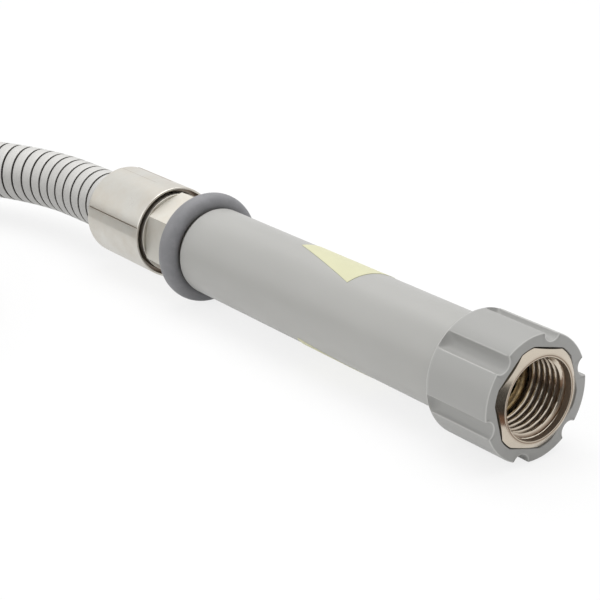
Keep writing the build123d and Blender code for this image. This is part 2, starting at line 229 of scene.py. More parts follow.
# ---------------------------------------------------------------- material helpers
class Shade:
    """A material with a Principled shader and short ways to add nodes to it."""

    def __init__(self, name):
        self.material = bpy.data.materials.new(name)
        self.material.use_nodes = True
        self.tree = self.material.node_tree
        self.surface = self.tree.nodes["Principled BSDF"]
        self.coords = self.node("ShaderNodeTexCoord")

    def node(self, kind, **values):
        made = self.tree.nodes.new(kind)
        for key, value in values.items():
            setattr(made, key, value)
        return made

    def link(self, source, target):
        self.tree.links.new(source, target)

    def set(self, **values):
        for key, value in values.items():
            self.surface.inputs[key.replace("_", " ")].default_value = value

    def noise(self, scale, detail=3.0, roughness=0.5, stretch=(1, 1, 1), attribute=None):
        """Noise over the piece's own coordinates, in cycles per metre, or over a stored coordinate."""
        mapping = self.node("ShaderNodeMapping")
        mapping.inputs["Scale"].default_value = stretch
        if attribute:
            source = self.node("ShaderNodeUVMap", uv_map=attribute).outputs["UV"]
        else:
            source = self.coords.outputs["Object"]
        self.link(source, mapping.inputs["Vector"])
        noise = self.node("ShaderNodeTexNoise")
        noise.inputs["Scale"].default_value = scale
        noise.inputs["Detail"].default_value = detail
        noise.inputs["Roughness"].default_value = roughness
        self.link(mapping.outputs["Vector"], noise.inputs["Vector"])
        return noise.outputs["Fac"]

    def spread(self, value, low, high, from_low=0.3, from_high=0.7):
        """A value stretched from its middle range to a new range."""
        ranged = self.node("ShaderNodeMapRange")
        ranged.inputs["From Min"].default_value = from_low
        ranged.inputs["From Max"].default_value = from_high
        ranged.inputs["To Min"].default_value = low
        ranged.inputs["To Max"].default_value = high
        self.link(value, ranged.inputs["Value"])
        return ranged.outputs["Result"]

    def mix(self, share, first, second):
        """A colour between two colours, each given as numbers or as a socket."""
        mix = self.node("ShaderNodeMix", data_type="RGBA")
        self.link(share, mix.inputs["Factor"])
        for slot, colour in ((6, first), (7, second)):
            if isinstance(colour, bpy.types.NodeSocket):
                self.link(colour, mix.inputs[slot])
            else:
                mix.inputs[slot].default_value = (*colour, 1)
        return mix.outputs[2]

    def bump(self, height, distance, strength=1.0, below=None):
        bump = self.node("ShaderNodeBump")
        bump.inputs["Distance"].default_value = distance
        bump.inputs["Strength"].default_value = strength
        self.link(height, bump.inputs["Height"])
        if below:
            self.link(below, bump.inputs["Normal"])
        return bump.outputs["Normal"]

    def to(self, source, name):
        self.link(source, self.surface.inputs[name])


def tinted(colour, factor):
    return tuple(min(1.0, c * factor) for c in colour)


def moulded_plastic(name, colour, roughness=0.42):
    """Smooth moulded plastic: faint flow marks, a fine grain, a patchy sheen, and a painted highlight
    lightening the edges the mesh marks.
    """
    shade = Shade(name)
    shade.set(IOR=1.47)
    cloud = shade.noise(45.0, 3.0, 0.5, stretch=(0.5, 1, 1))
    base = shade.mix(shade.spread(cloud, 0.0, 1.0), tinted(colour, 0.965), tinted(colour, 1.025))
    # painted highlight: a lighter colour mixed in along the cover's rounded edges
    edge = shade.node("ShaderNodeAttribute", attribute_name="edge_highlight")
    shade.to(shade.mix(edge.outputs["Fac"], base, tinted(colour, 1.55)), "Base Color")
    smear = shade.noise(260.0, 4.0, 0.6, stretch=(0.25, 1, 1))
    shade.to(shade.spread(smear, roughness - 0.05, roughness + 0.07), "Roughness")
    grain = shade.noise(5200.0, 2.0, 0.6)
    swell = shade.noise(130.0, 2.0, 0.5)
    soft = shade.bump(swell, 0.00012, 0.5)
    shade.to(shade.bump(grain, 0.000012, 0.6, soft), "Normal")
    return shade.material


def soft_rubber(name, colour, roughness=0.5):
    """Rubber with a fine skin and a few paler rubbed places."""
    shade = Shade(name)
    shade.set(IOR=1.5)
    rub = shade.noise(330.0, 5.0, 0.65)
    shade.to(shade.mix(shade.spread(rub, 0.0, 1.0, 0.45, 0.8), colour, tinted(colour, 1.22)), "Base Color")
    shade.to(shade.spread(rub, roughness - 0.05, roughness + 0.1), "Roughness")
    shade.to(shade.bump(shade.noise(6500.0, 2.0, 0.6), 0.000015, 0.6), "Normal")
    return shade.material


def label_film(name, colour):
    """Matt printed-stock film, slightly uneven where it is stuck down."""
    shade = Shade(name)
    cloud = shade.noise(160.0, 3.0, 0.5)
    base = shade.mix(shade.spread(cloud, 0.0, 1.0), tinted(colour, 0.97), tinted(colour, 1.02))
    shade.to(base, "Base Color")
    shade.set(Roughness=0.48)
    shade.to(shade.bump(shade.noise(700.0, 3.0, 0.5), 0.00003, 0.5), "Normal")
    return shade.material


def satin_metal(name, colour, stain, roughness, blotch=0.0, brushing=(1, 1, 1), line_scale=900.0):
    """Plated metal with stained patches and fine turning marks, darkened with painted shade where the mesh
    marks a recess.
    """
    shade = Shade(name)
    shade.set(Metallic=1.0)
    patch = shade.noise(95.0, 4.0, 0.62)
    fine = shade.noise(420.0, 3.0, 0.6)
    base = shade.mix(shade.spread(patch, 0.0, 1.0, 0.38, 0.68), colour, stain)
    base = shade.mix(shade.spread(fine, 0.0, 0.5, 0.45, 0.75), base, tinted(colour, 0.94))
    # painted shade: the recess colour mixed in where the mesh marks a recess, and the metal made less
    # metallic there
    recess_shade = shade.node("ShaderNodeAttribute", attribute_name="recess_shade")
    shade.to(shade.mix(recess_shade.outputs["Fac"], base, colours().recess_shade), "Base Color")
    shade.to(shade.spread(recess_shade.outputs["Fac"], 1.0, 0.45, 0.2, 1.0), "Metallic")
    shade.to(shade.spread(patch, roughness, roughness + blotch), "Roughness")
    lines = shade.noise(line_scale, 3.0, 0.7, stretch=brushing)
    shade.to(shade.bump(lines, 0.00002, 0.2), "Normal")
    return shade.material


def strip_steel(name, colour, slot_shade_colour):
    """Rolled steel strip: lengthwise rolling lines, dull patches and painted shade darkening the slots
    between the turns.
    """
    shade = Shade(name)
    shade.set(Metallic=1.0)
    along = shade.noise(1.0, 3.0, 0.65, stretch=(0.03, 9.0, 1), attribute="strip")
    patch = shade.noise(60.0, 3.0, 0.6)
    steel = shade.mix(shade.spread(patch, 0.0, 1.0), colour, tinted(colour, 0.93))
    steel = shade.mix(shade.spread(along, 0.0, 0.6), steel, tinted(colour, 0.88))
    # painted shade: the slot colour mixed in by the depth share across the strip
    depth = shade.node("ShaderNodeAttribute", attribute_name="slot_shade")
    shade.to(shade.mix(depth.outputs["Fac"], steel, slot_shade_colour), "Base Color")
    shade.to(shade.spread(along, 0.66, 0.76), "Roughness")
    shade.to(shade.bump(along, 0.00001, 0.3), "Normal")
    return shade.material


# ---------------------------------------------------------------- stage
CAMERA_PLACE = (0.339, -0.2557, 0.1732)
CAMERA_AIM = (-0.7477, 0.5629, -0.3524)
CAMERA_LENS = 100.5
FLOOR_SIZE = 6.0
FLOOR_GLOW = 0.8  # share of the floor's own light where the camera or polished metal sees it
ROOM_LIGHT = 0.55
BACKDROP_LIGHT = 1.0
LAMPS = (  # name, place, size and watts
    ("lamp_top", (-0.15, 0.15, 0.9), 0.9, 6.5),
    ("lamp_side", (-0.35, -0.75, 0.45), 0.5, 1.6),
)
BLACK = (0.01, 0.008, 0.006)
BROWN = (0.16, 0.08, 0.045)
CARD_LIFT = 0.0005  # a card on the floor lies this far above it


def lying_card(x_low, x_high, y_low, y_high):
    """Corners of a card that lies on the floor."""
    return [
        (x_low, y_low, CARD_LIFT),
        (x_high, y_low, CARD_LIFT),
        (x_high, y_high, CARD_LIFT),
        (x_low, y_high, CARD_LIFT),
    ]


CARDS = (  # name, colour and corners
    ("black_floor_card", BLACK, lying_card(0.117, 0.30, -0.2, 0.006)),
    (
        "black_standing_card",
        BLACK,
        [(0.30, -0.12, 0.0), (0.30, 0.0, 0.0), (0.30, 0.0, 0.045), (0.30, -0.12, 0.045)],
    ),
    ("brown_floor_card", BROWN, lying_card(0.104, 0.117, -0.03, 0.003)),
)


def soft_light(name, place, size, watts):
    """A square lamp at a place, aimed at the frame's origin."""
    lamp = bpy.data.lights.new(name, "AREA")
    lamp.shape = "SQUARE"
    lamp.size = size
    lamp.energy = watts
    light = bpy.data.objects.new(name, lamp)
    light.location = place
    light.rotation_mode = "QUATERNION"
    light.rotation_quaternion = (-Vector(place)).to_track_quat("-Z", "Y")
    bpy.context.scene.collection.objects.link(light)


class HOSE_OT_stage(bpy.types.Operator):
    """Makes the floor, the lamps, the pale surroundings and the camera"""

    bl_idname = "hose.stage"
    bl_label = "Stage"

    def execute(self, context):
        scene = context.scene
        scene.view_settings.view_transform = "Standard"

        camera = bpy.data.cameras.new("camera")
        camera.lens = CAMERA_LENS
        camera.sensor_width = 36.0
        camera.clip_start = 0.01
        holder = bpy.data.objects.new("camera", camera)
        holder.location = CAMERA_PLACE
        holder.rotation_mode = "QUATERNION"
        holder.rotation_quaternion = Vector(CAMERA_AIM).to_track_quat("-Z", "Y")
        scene.collection.objects.link(holder)
        scene.camera = holder

        self.floor(scene)
        self.world(scene)
        self.cards(scene)
        for lamp in LAMPS:
            soft_light(*lamp)
        return {"FINISHED"}

    def floor(self, scene):
        mesh = bpy.data.meshes.new("floor")
        half = FLOOR_SIZE / 2
        mesh.from_pydata(
            [(-half, -half, 0), (half, -half, 0), (half, half, 0), (-half, half, 0)], [], [(0, 1, 2, 3)]
        )
        floor = bpy.data.objects.new("floor", mesh)
        scene.collection.objects.link(floor)
        shade = Shade("floor_paper")
        tone = shade.noise(3.0)
        colour = colours().floor
        shade.to(shade.mix(tone, tinted(colour, 0.995), tinted(colour, 1.005)), "Base Color")
        shade.set(Roughness=0.9)
        glow = shade.node("ShaderNodeEmission")
        glow.inputs["Strength"].default_value = 1.0
        path = shade.node("ShaderNodeLightPath")
        seen = shade.node("ShaderNodeMath", operation="MAXIMUM")
        shade.link(path.outputs["Is Camera Ray"], seen.inputs[0])
        shade.link(path.outputs["Is Glossy Ray"], seen.inputs[1])
        share = shade.node("ShaderNodeMath", operation="MULTIPLY")
        share.inputs[1].default_value = FLOOR_GLOW
        shade.link(seen.outputs[0], share.inputs[0])
        mixed = shade.node("ShaderNodeMixShader")
        shade.link(share.outputs[0], mixed.inputs[0])
        shade.link(shade.surface.outputs[0], mixed.inputs[1])
        shade.link(glow.outputs[0], mixed.inputs[2])
        shade.link(mixed.outputs[0], shade.tree.nodes["Material Output"].inputs["Surface"])
        mesh.materials.append(shade.material)

    def cards(self, scene):
        """Dark cards before the coupling, seen only in polished metal."""
        for name, colour, corners in CARDS:
            mesh = bpy.data.meshes.new(name)
            mesh.from_pydata(corners, [], [(0, 1, 2, 3)])
            card = bpy.data.objects.new(name, mesh)
            scene.collection.objects.link(card)
            card.visible_camera = False
            card.visible_diffuse = False
            card.visible_shadow = False
            shade = Shade(name)
            shade.set(Base_Color=(*colour, 1), Roughness=0.9)
            mesh.materials.append(shade.material)

    def world(self, scene):
        world = bpy.data.worlds.new("studio")
        world.use_nodes = True
        scene.world = world
        tree = world.node_tree
        room = tree.nodes["Background"]
        room.inputs["Color"].default_value = (1, 1, 1, 1)
        room.inputs["Strength"].default_value = ROOM_LIGHT
        backdrop = tree.nodes.new("ShaderNodeBackground")
        backdrop.inputs["Color"].default_value = (1, 1, 1, 1)
        backdrop.inputs["Strength"].default_value = BACKDROP_LIGHT
        path = tree.nodes.new("ShaderNodeLightPath")
        seen = tree.nodes.new("ShaderNodeMath")
        seen.operation = "MAXIMUM"
        tree.links.new(path.outputs["Is Camera Ray"], seen.inputs[0])
        tree.links.new(path.outputs["Is Glossy Ray"], seen.inputs[1])
        mixed = tree.nodes.new("ShaderNodeMixShader")
        tree.links.new(seen.outputs[0], mixed.inputs[0])
        tree.links.new(room.outputs[0], mixed.inputs[1])
        tree.links.new(backdrop.outputs[0], mixed.inputs[2])
        tree.links.new(mixed.outputs[0], tree.nodes["World Output"].inputs["Surface"])


# ---------------------------------------------------------------- hose
HOSE_ROUTE = [
    (-0.0782, 0.0, 0.0162),
    (-0.106, 0.0004, 0.0162),
    (-0.136, -0.0022, 0.0164),
    (-0.172, -0.0175, 0.0155),
    (-0.203, -0.053, 0.0115),
    (-0.217, -0.099, 0.0093),
]
HOSE_END = (-0.059, -0.238, 0.0281)
COIL_CENTRE = (-0.124, -0.145)
COIL_RADIUS = 0.093
COIL_STEP = 24
COIL_TRAVEL = 450
COIL_CLIMB = (235, 325)
COIL_EXIT = 0.02  # past the coil's middle, where the straight run to the far end starts
LOW_Z = 0.0093
HIGH_Z = 0.0281


def coil_points():
    """The route's points round the coil, which climbs over its own start."""
    outside = COIL_RADIUS / (0.75 + 0.25 * math.cos(math.radians(COIL_STEP)))
    points = []
    travel = COIL_STEP / 2
    while travel < COIL_TRAVEL - COIL_STEP / 4:
        angle = math.radians(180 + travel)
        share = min(1.0, max(0.0, (travel - COIL_CLIMB[0]) / (COIL_CLIMB[1] - COIL_CLIMB[0])))
        climb = share * share * (3 - 2 * share)
        points.append(
            (
                COIL_CENTRE[0] + outside * math.cos(angle),
                COIL_CENTRE[1] + outside * math.sin(angle),
                LOW_Z + (HIGH_Z - LOW_Z) * climb,
            )
        )
        travel += COIL_STEP
    return points


def spline_points(points):
    """Points read from the NURBS spline that has these control points."""
    curve = bpy.data.curves.new("hose_line", "CURVE")
    curve.dimensions = "3D"
    curve.resolution_u = 24
    spline = curve.splines.new("NURBS")
    spline.points.add(len(points) - 1)
    for point, place in zip(spline.points, points):
        point.co = (*place, 1)
    spline.order_u = 3
    spline.use_endpoint_u = True
    holder = bpy.data.objects.new("hose_line", curve)
    bpy.context.scene.collection.objects.link(holder)
    depsgraph = bpy.context.evaluated_depsgraph_get()
    mesh = bpy.data.meshes.new_from_object(holder.evaluated_get(depsgraph))
    line = [v.co.copy() for v in mesh.vertices]
    bpy.data.meshes.remove(mesh)
    bpy.data.objects.remove(holder)
    bpy.data.curves.remove(curve)
    return line


class Route:
    """A centreline that gives the place and a steady cross direction at any length along it."""

    def __init__(self, line):
        self.line = line
        self.along = [0.0]
        for here, after in zip(line, line[1:]):
            self.along.append(self.along[-1] + (after - here).length)
        self.length = self.along[-1]
        self.heading = [self.tangent(i) for i in range(len(line))]
        self.side = [Vector((0, 0, 1))]
        for i in range(1, len(line)):
            turn = self.heading[i - 1].rotation_difference(self.heading[i])
            side = turn @ self.side[-1]
            self.side.append((side - side.project(self.heading[i])).normalized())

    def tangent(self, i):
        before = self.line[max(i - 1, 0)]
        after = self.line[min(i + 1, len(self.line) - 1)]
        return (after - before).normalized()

    def frames(self, lengths):
        """Place, side and up at each of a rising list of lengths, running straight on past the ends."""
        found = []
        i = 0
        for s in lengths:
            while i < len(self.line) - 2 and self.along[i + 1] < s:
                i += 1
            span = self.along[i + 1] - self.along[i]
            raw = (s - self.along[i]) / span
            share = min(1.0, max(0.0, raw))
            heading = self.heading[i].lerp(self.heading[i + 1], share).normalized()
            place = self.line[i].lerp(self.line[i + 1], share) + heading * (raw - share) * span
            side = self.side[i].lerp(self.side[i + 1], share)
            side = (side - side.project(heading)).normalized()
            found.append((place, side, heading.cross(side)))
        return found


def strip_profile():
    """(length, radius, depth share) points across one turn of the strip, in metres; the depth share also sets
    the painted shade in the slots.
    """
    s = sizes()
    outer = s.hose_radius
    floor = outer - s.hose_slot_depth
    band = s.hose_pitch - s.hose_slot
    return [
        (0.0, floor, 1.0),
        (0.02 * MM, outer - 0.30 * MM, 0.9),
        (0.07 * MM, outer - 0.06 * MM, 0.3),
        (0.22 * MM, outer - 0.01 * MM, 0.0),
        (0.34 * band, outer, 0.0),
        (0.68 * band, outer, 0.0),
        (band - 0.26 * MM, outer - 0.02 * MM, 0.0),
        (band - 0.06 * MM, outer - 0.09 * MM, 0.3),
        (band, outer - 0.36 * MM, 0.9),
        (band + 0.03 * MM, floor, 1.0),
    ]


def hose_mesh(route):
    """One strip wound round the route as a helix, from end to end."""
    s = sizes()
    facets = s.hose_facets
    profile = strip_profile()
    rows = len(profile)
    first = -2 * facets
    last = int(route.length / s.hose_pitch * facets) + facets
    frames = [
        route.frames([(i / facets) * s.hose_pitch + profile[j][0] + s.hose_start for i in range(first, last)])
        for j in range(rows)
    ]
    points = []
    depth = []
    for k in range(last - first):
        angle = 2 * math.pi * (k % facets) / facets
        for j in range(rows):
            place, side, up = frames[j][k]
            radius = profile[j][1]
            points.append(place + (side * math.cos(angle) + up * math.sin(angle)) * radius)
            depth.append(profile[j][2])
    faces = []
    strip = []
    count = last - first
    turn_length = 2 * math.pi * s.hose_radius
    for k in range(count - 1):
        for j in range(rows):
            if j < rows - 1:
                a, b = k * rows + j, k * rows + j + 1
                c, d = (k + 1) * rows + j + 1, (k + 1) * rows + j
                v0, v1 = profile[j][0], profile[j + 1][0]
            elif k + facets + 1 < count:
                a, b = k * rows + j, (k + facets) * rows
                c, d = (k + facets + 1) * rows, (k + 1) * rows + j
                v0, v1 = profile[j][0], s.hose_pitch
            else:
                continue
            faces.append((a, b, c, d))
            u0, u1 = k * turn_length / facets / MM, (k + 1) * turn_length / facets / MM
            strip.extend([(u0, v0 / MM), (u0, v1 / MM), (u1, v1 / MM), (u1, v0 / MM)])
    mesh = bpy.data.meshes.new("metal_hose")
    mesh.from_pydata(points, [], faces)
    layer = mesh.uv_layers.new(name="strip")
    for loop, uv in enumerate(strip):
        layer.data[loop].uv = uv
    # depth share across the strip, which sets the painted shade in the slots
    attribute = mesh.attributes.new("slot_shade", "FLOAT", "POINT")
    attribute.data.foreach_set("value", depth)
    cut_end(mesh, route.line[0], -route.heading[0], s.hose_radius * 2)
    cut_end(mesh, route.line[-1], route.heading[-1], s.hose_radius * 2)
    mesh.shade_smooth()
    mesh.set_sharp_from_angle(angle=math.radians(38))
    return mesh


def cut_end(mesh, place, outward, reach):
    """Cuts the hose square at one end and closes it."""
    bm = bmesh.new()
    bm.from_mesh(mesh)
    near = [f for f in bm.faces if (f.calc_center_median() - place).length < reach]
    edges = dict.fromkeys(e for f in near for e in f.edges)
    verts = dict.fromkeys(v for f in near for v in f.verts)
    geometry = [*near, *edges, *verts]
    bmesh.ops.bisect_plane(bm, geom=geometry, plane_co=place, plane_no=outward, clear_outer=True, dist=1e-7)
    open_edges = [e for e in bm.edges if e.is_boundary and (e.verts[0].co - place).length < reach]
    bmesh.ops.holes_fill(bm, edges=open_edges, sides=0)
    bmesh.ops.recalc_face_normals(bm, faces=bm.faces)
    bm.to_mesh(mesh)
    bm.free()


class HOSE_OT_hose(bpy.types.Operator):
    """Winds the steel strip along the hose's route in place of the CAD hose"""

    bl_idname = "hose.hose"
    bl_label = "Hose"

    def execute(self, context):
        points = HOSE_ROUTE + coil_points()
        points.append((COIL_CENTRE[0] + COIL_EXIT, HOSE_END[1], HIGH_Z))
        points.append(HOSE_END)
        line = spline_points(points)
        route = Route(line)
        c = colours()
        piece = add_piece(
            "metal_hose",
            hose_mesh(route),
            strip_steel("strip_steel", c.steel, c.slot),
            "handle",
            "hose_steel",
            "hose_run",
            "hose_coil",
            "hose_end",
        )
        return {"FINISHED"}


# ---------------------------------------------------------------- coupling
GROOVES = 6
GROOVE_SECTOR = 360 / GROOVES
GROOVE_POINTS = 13
LAND_POINTS = 15
EDGE_REACH = 0.4  # how far a groove's rounded edge reaches, in millimetres
EDGE_HIGHLIGHT_SHARES = [0.4, 1.0, 1.0, 0.4]  # how much painted highlight each point of a groove's edge gets
SIDE_HIGHLIGHT = 0.7  # how much painted highlight a groove's edges get along the side, against those at the face
GROOVE_RUN_OUT = 2.6  # length over which a groove fades out, in millimetres
GROOVE_END = 0.7  # share of the cover's shoulder that lies behind the grooves' ends
FACE_SUPPORT = 0.12  # flat band just inside the face's rounded edge, in millimetres
POCKET_END_GAP = 0.05  # between the insert's back and its pocket, in millimetres


def cover_outline():
    """(turn, radius) pairs once round the cover, in degrees and millimetres, and each point's share of
    painted edge highlight.
    """
    s = sizes()
    radius = width_of("coupling_cover") / 2 / MM
    groove = s.groove_radius / MM
    centre = radius + groove - s.groove_depth / MM
    first_turn = math.degrees(s.groove_turn)
    edge_turn = math.acos((radius**2 + centre**2 - groove**2) / (2 * radius * centre))
    corner = (radius * math.cos(edge_turn), radius * math.sin(edge_turn))
    wall = math.atan2(corner[1], centre - corner[0])
    low = wall - EDGE_REACH / groove
    high = edge_turn + EDGE_REACH / radius
    next_groove = math.radians(GROOVE_SECTOR)

    def on_groove(angle):
        return centre - groove * math.cos(angle), groove * math.sin(angle)

    def rounding(start, end, bend):
        points = []
        for t in (0.2, 0.4, 0.6, 0.8):
            a, b, c = (1 - t) ** 2, 2 * t * (1 - t), t * t
            points.append(tuple(a * p + b * q + c * r for p, q, r in zip(start, bend, end)))
        return points

    land = (radius * math.cos(high), radius * math.sin(high))
    sector = [on_groove(angle) for angle in steps(-low, low, GROOVE_POINTS)]
    sector += rounding(on_groove(low), land, corner)
    sector += [
        (radius * math.cos(angle), radius * math.sin(angle))
        for angle in steps(high, next_groove - high, LAND_POINTS)
    ]
    mirrored = [(x, -y) for x, y in reversed(rounding(on_groove(low), land, corner))]
    sector += [
        (
            x * math.cos(next_groove) - y * math.sin(next_groove),
            x * math.sin(next_groove) + y * math.cos(next_groove),
        )
        for x, y in mirrored
    ]
    highlight_shares = [0.0] * GROOVE_POINTS + EDGE_HIGHLIGHT_SHARES + [0.0] * LAND_POINTS + EDGE_HIGHLIGHT_SHARES
    outline = []
    for number in range(GROOVES):
        for x, y in sector:
            turn = first_turn + GROOVE_SECTOR * number + math.degrees(math.atan2(y, x))
            outline.append((turn, math.hypot(x, y)))
    return outline, highlight_shares * GROOVES


def inset(outline, amount):
    """The outline moved inward by an amount, in millimetres."""
    points = [(r * math.cos(math.radians(t)), r * math.sin(math.radians(t))) for t, r in outline]
    moved = []
    count = len(points)
    for i in range(count):
        (ax, ay), (x, y), (bx, by) = points[i - 1], points[i], points[(i + 1) % count]
        dx, dy = bx - ax, by - ay
        size = math.hypot(dx, dy)
        x -= dy / size * amount
        y += dx / size * amount
        moved.append((math.degrees(math.atan2(y, x)), math.hypot(x, y)))
    return moved


class HOSE_OT_cover(bpy.types.Operator):
    """Builds the coupling's ribbed cover with its hexagonal pocket"""

    bl_idname = "hose.cover"
    bl_label = "Coupling cover"

    def execute(self, context):
        s = sizes()
        low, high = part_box("coupling_cover")
        length = (high.x - low.x) / MM
        edge = s.cover_edge / MM
        shoulder = s.cover_shoulder / MM
        outline, edge_highlight_shares = cover_outline()
        side = max(radius for turn, radius in outline)
        groove_end = length - GROOVE_END * shoulder

        def faded(station):
            """The outline where the grooves run out before the back, and how much of them is left."""
            left = min(1.0, max(0.0, (groove_end - station) / GROOVE_RUN_OUT))
            left = math.sqrt(1 - (1 - left) ** 2)
            return [(t, side - (side - r) * left) for t, r in outline], left

        gap = s.insert_gap / MM
        across = s.insert_across / MM + 2 * gap
        corner = s.insert_corner / MM + gap
        pocket_back = station_of(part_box("coupling_insert")[0].x) + POCKET_END_GAP
        hole, hole_edge = 8.5, 0.3
        corner_turn = math.degrees(s.groove_turn) + 30

        rings = []
        highlight_shares = []

        def ring(station, pairs, share=0.0, along=0.0):
            rings.append([place(station, radius, turn) for turn, radius in pairs])
            # shares of painted highlight along the rounded edges
            highlight_shares.append([max(share, along * other) for other in edge_highlight_shares])

        turns = [turn for turn, radius in outline]
        pocket = [min(hexagon(across, t, corner_turn), corner) for t in turns]
        ring(0.0, inset(outline, edge + FACE_SUPPORT))
        for k in range(6, -1, -1):
            angle = math.radians(90 * k / 6)
            moved = inset(outline, edge * (1 - math.cos(angle)))
            # painted highlight along the middle of the face's rounded edge
            ring(edge * (1 - math.sin(angle)), moved, math.sin(2 * angle) ** 2)
        whole = steps(edge + 0.8, groove_end - GROOVE_RUN_OUT, 10)
        fading = steps(groove_end - GROOVE_RUN_OUT + 0.1, length - shoulder, 14)
        for station in whole + fading:
            pairs, left = faded(station)
            # painted highlight along the groove edges on the side, fading with the grooves
            ring(station, pairs, along=SIDE_HIGHLIGHT * left)
        for k in range(1, 15):
            angle = math.radians(90 * k / 14)
            rounded = side - shoulder * (1 - math.cos(angle))
            station = length - shoulder * (1 - math.sin(angle))
            limited = [(t, min(r, rounded)) for t, r in faded(station)[0]]
            # painted highlight along the middle of the shoulder's rounding
            ring(station, limited, 0.5 * math.sin(2 * angle) ** 2)
        ring(length, [(t, hole + hole_edge) for t in turns])
        ring(length - hole_edge, [(t, hole) for t in turns])
        ring(pocket_back, [(t, hole) for t in turns])
        for station, wider in ((pocket_back, 0.0), (0.16, 0.0), (0.05, 0.05), (0.0, 0.16), (0.0, 0.3)):
            ring(station, [(t, r + wider) for t, r in zip(turns, pocket)])
        columns = [list(column) for column in zip(*rings)]
        mesh = grid_mesh("ribbed_cover", columns)
        edges = [share for column in zip(*highlight_shares) for share in column]
        # the shares become the painted edge highlight in the plastic's colour
        mesh.attributes.new("edge_highlight", "FLOAT", "POINT").data.foreach_set("value", edges)
        clean_up(mesh, 34)
        add_piece(
            "ribbed_cover",
            mesh,
            moulded_plastic("cover_plastic_moulded", colours().cover, 0.45),
            "coupling_nut",
            "cover_plastic",
            "coupling_cover",
        )
        return {"FINISHED"}


class HOSE_OT_insert(bpy.types.Operator):
    """Cuts the hexagonal insert with its thread, relief and seat"""

    bl_idname = "hose.insert"
    bl_label = "Threaded insert"

    def execute(self, context):
        s = sizes()
        low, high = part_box("coupling_insert")
        front = station_of(high.x)
        back = station_of(low.x)
        across = s.insert_across / MM
        crest = s.thread_crest / MM
        depth = s.thread_depth / MM
        pitch = s.thread_pitch / MM
        corner_turn = math.degrees(s.groove_turn) + 30
        rim, back_rim = 11.05, 12.6
        mouth, mouth_depth, relief = 10.25, 1.7, 10.6
        lip = (mouth + rim) / 2
        seat, thread_end = 15.2, 12.3
        shaft = 7.8
        slope = math.tan(math.radians(30))
        corner = s.insert_corner / MM
        lead_in = front + mouth_depth

        def column_at(turn):
            flat = min(hexagon(across, turn, corner_turn), corner)
            # recess shade shares: painted shade in the mouth's counterbore, a dark brown line painted on the
            # lip, and a browner tone on the face
            column = [
                (lead_in - 0.02, mouth, 0.8),
                (front + 0.2, mouth, 0.7),
                (front + 0.05, mouth + 0.04, 0.2),
                (front, mouth + 0.14, 0.25),
                (front + 0.06, lip, 0.9),
                (front, rim - 0.12, 0.25),
                (front + 0.015, rim, 0.3),
                (front + 0.06, rim + 0.09, 0.16),
                (front + (flat - rim) * slope, flat, 0.12),
                (back - (flat - back_rim) * slope, flat),
                (back, back_rim),
                (back, shaft),
                (seat, shaft),
                (seat, relief),
                (thread_end + 0.1, relief),
            ]
            # painted shade deepening toward each thread root
            for station in steps(thread_end, lead_in + 0.02, 116):
                cone = mouth - (station - lead_in)
                height = thread_height(station / pitch + turn / 360)
                wall = crest + depth * height
                column.append((station, max(cone, wall), height if wall > cone else 0.0))
            return column

        mesh = turned_mesh("threaded_insert", [corner_turn + 1.25 * k for k in range(288)], column_at, 28)
        c = colours()
        add_piece(
            "threaded_insert",
            mesh,
            satin_metal(
                "insert_plated", c.insert, tinted(c.insert, 0.9), 0.16, 0.1, (9, 1, 1), 700.0
            ),
            "coupling_nut",
            "insert_brass",
            "coupling_insert",
        )
        return {"FINISHED"}


# ---------------------------------------------------------------- hose nuts and adaptor
MARK_TURN = 82.0
MARK_HALF_TURN = 13.0
MARK_SETBACK = 8.3
MARK_DEPTH = 0.08
MARK_SLOPE = 0.12  # width of the slope at the mark's rim
MARK_LINE = 0.25  # width of the darker line painted round the mark's rim
CREASE_TURN = 172.0
CREASE_HALF_TURN = 7.6
CREASE_WIDTH = 0.9  # degrees to each side of the crease's bottom
CREASE_DEPTH = 0.3
CREASE_FLAT = 0.06  # how far the flat beside a crease lies inside the nut's side


def nut_side(setback, turn, radius):
    """Radius and recess shade share of the nut's side, with its shallow marks, a darker line painted round
    each mark, and painted shade along the creases.
    """
    found = radius
    share = 0.0
    for opposite in (0, 180):
        off = (turn - MARK_TURN - opposite + 180) % 360 - 180
        inside = min(math.radians(MARK_HALF_TURN - abs(off)) * radius, setback - MARK_SETBACK)
        if inside > 0:
            found -= MARK_DEPTH * min(1.0, inside / MARK_SLOPE)
            # a darker line painted round the mark's rim
            share = 0.8 if inside < MARK_LINE else 0.0
        off = (turn - CREASE_TURN - opposite + 180) % 360 - 180
        if abs(off) < CREASE_HALF_TURN:
            found = min(found, (radius - CREASE_FLAT) / math.cos(math.radians(off)))
        line = abs(off + CREASE_HALF_TURN)
        if line < CREASE_WIDTH:
            found -= CREASE_DEPTH * (1 - line / CREASE_WIDTH)
            # painted shade along the bottom of the crease
            share = 0.9 * (1 - line / CREASE_WIDTH)
    return found, share


